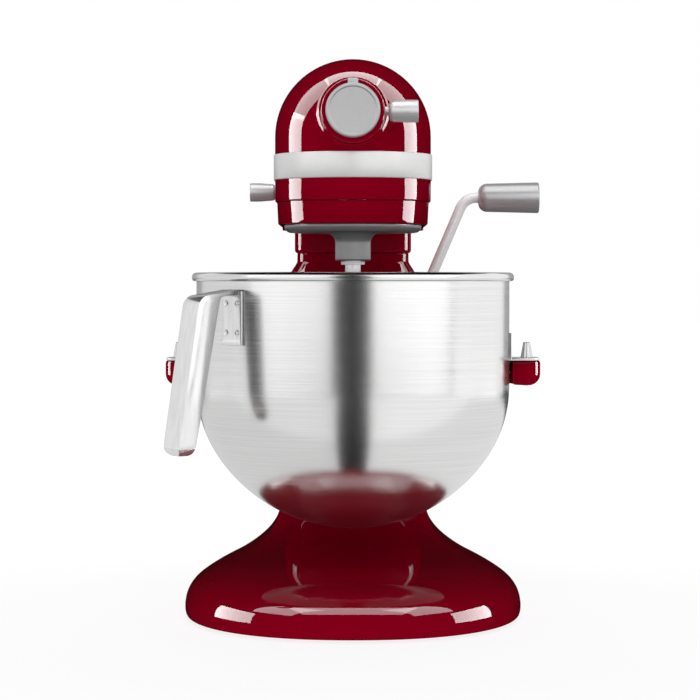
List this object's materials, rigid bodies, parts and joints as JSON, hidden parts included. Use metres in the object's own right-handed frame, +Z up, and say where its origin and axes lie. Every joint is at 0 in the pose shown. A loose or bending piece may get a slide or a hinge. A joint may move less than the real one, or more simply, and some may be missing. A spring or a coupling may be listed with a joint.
{
  "type": "stand mixer",
  "caption": "Bowl-lift stand mixer with a red cast body, a lever-raised steel bowl, a planetary whisking head with a bare tool shaft, and a power hub with a flip-up disc.",
  "frame": {"origin": "the point of the floor straight below the planetary axis", "axes": "+Z up, -Y out of the front, +X to the lift lever's side"},
  "size_m": [0.292, 0.3759, 0.419],
  "materials": {
    "red_paint": "glossy clear-coated candy red over cast metal",
    "satin_silver": "satin silver",
    "bowl_steel": "spun and brushed stainless steel",
    "bright_rod": "bright plated steel",
    "shaft_steel": "ground steel",
    "spur_bronze": "machined bronze",
    "motor_iron": "laminated iron",
    "cast_alloy": "as-cast alloy",
    "black_rubber": "soft black rubber",
    "black_plastic": "moulded black plastic"
  },
  "bodies": {
    "stand": {"pedestal": "red_paint", "rubber_feet": "black_rubber", "guide_rods": "shaft_steel", "lift_bush": "spur_bronze", "column_screws": "bright_rod", "motor_housing": "red_paint", "gearcase_lower": "red_paint", "rear_cover": "red_paint", "rear_cover_screw": "bright_rod", "trim_band": "satin_silver", "head_screws": "bright_rod", "cord_gland": "black_rubber", "gearbox_bulkhead": "cast_alloy", "motor_bulkhead": "cast_alloy", "hub_socket": "shaft_steel", "hub_bearing": "shaft_steel", "hub_cover_pin": "bright_rod", "lay_bearings": "shaft_steel", "motor_bearings": "shaft_steel", "motor_stator": "motor_iron", "control_board": "black_plastic", "planetary_bearings": "shaft_steel", "ring_gear": "shaft_steel"},
    "power_hub": {"hub_shaft": "shaft_steel", "hub_bevel_gear": "shaft_steel"},
    "hub_flap": {"hub_cover": "satin_silver"},
    "thumb_screw": {"attachment_knob": "satin_silver"},
    "lay_train": {"lay_shaft": "shaft_steel", "lay_bevel_pinion": "shaft_steel", "lay_gear": "spur_bronze"},
    "rotor": {"motor_shaft": "shaft_steel", "motor_pinion": "shaft_steel", "motor_rotor": "motor_iron", "cooling_fan": "black_plastic"},
    "planetary": {"planetary_hub": "satin_silver", "planetary_shaft": "shaft_steel", "planetary_bevel_gear": "shaft_steel", "agitator_bushes": "spur_bronze"},
    "agitator": {"agitator_shaft": "shaft_steel", "agitator_pin": "shaft_steel", "agitator_pinion": "shaft_steel", "shaft_washer": "bright_rod"},
    "carriage": {"bowl_yoke": "red_paint", "locating_pins": "bright_rod", "yoke_screws": "bright_rod", "bowl_latch_spring": "shaft_steel", "lift_carriage": "cast_alloy"},
    "lever": {"lift_shaft": "shaft_steel", "lift_crank": "shaft_steel", "lift_lever_rod": "bright_rod", "lever_collar": "shaft_steel", "lift_grip": "satin_silver"},
    "bowl": {"bowl": "bowl_steel", "bowl_ears": "bowl_steel", "bowl_handle": "bowl_steel", "handle_bracket": "bowl_steel", "rear_bracket": "bowl_steel"},
    "speed": {"speed_lever_arm": "bright_rod", "speed_knob": "satin_silver"}
  },
  "joints": [
    {"name": "planetary_spin", "type": "hinge", "parent": "stand", "child": "planetary", "pos_m": [0, 0, 0.29], "axis": [0, 0, 1], "continuous": true},
    {"name": "agitator_spin", "type": "hinge", "parent": "planetary", "child": "agitator", "pos_m": [0, -0.0255, 0.25], "axis": [0, 0, 1], "continuous": true},
    {"name": "lay_spin", "type": "hinge", "parent": "stand", "child": "lay_train", "pos_m": [0, 0.05, 0.376], "axis": [0, 1, 0], "continuous": true},
    {"name": "hub_spin", "type": "hinge", "parent": "stand", "child": "power_hub", "pos_m": [0, -0.045, 0.376], "axis": [0, 1, 0], "continuous": true},
    {"name": "motor_spin", "type": "hinge", "parent": "stand", "child": "rotor", "pos_m": [0, 0.12, 0.346], "axis": [0, 1, 0], "continuous": true},
    {"name": "bowl_lift", "type": "slide", "parent": "stand", "child": "carriage", "axis": [0, 0, 1], "range_m": [-0.024, 0]},
    {"name": "lift_lever_turn", "type": "hinge", "parent": "stand", "child": "lever", "pos_m": [0.055, 0.182, 0.228], "axis": [-1, 0, 0], "range_deg": [0, 100]},
    {"name": "bowl_lift_off", "type": "slide", "parent": "carriage", "child": "bowl", "axis": [0, 0, 1], "range_m": [0, 0.013]},
    {"name": "hub_flap_hinge", "type": "hinge", "parent": "stand", "child": "hub_flap", "pos_m": [0, -0.073, 0.3966], "axis": [-1, 0, 0], "range_deg": [0, 95]},
    {"name": "thumb_screw_turn", "type": "hinge", "parent": "stand", "child": "thumb_screw", "pos_m": [0.03, -0.066, 0.376], "axis": [1, 0, 0], "range_deg": [0, 720]},
    {"name": "speed_slide", "type": "slide", "parent": "stand", "child": "speed", "axis": [0, -1, 0], "range_m": [0, 0.034]}
  ],
  "couplings": [
    {"joint": "agitator_spin", "follows": "planetary_spin", "ratio": -3.4286},
    {"joint": "lay_spin", "follows": "planetary_spin", "ratio": 3},
    {"joint": "hub_spin", "follows": "planetary_spin", "ratio": -3},
    {"joint": "motor_spin", "follows": "planetary_spin", "ratio": -12},
    {"joint": "lift_lever_turn", "follows": "bowl_lift", "rad_per_m": -72.722}
  ]
}
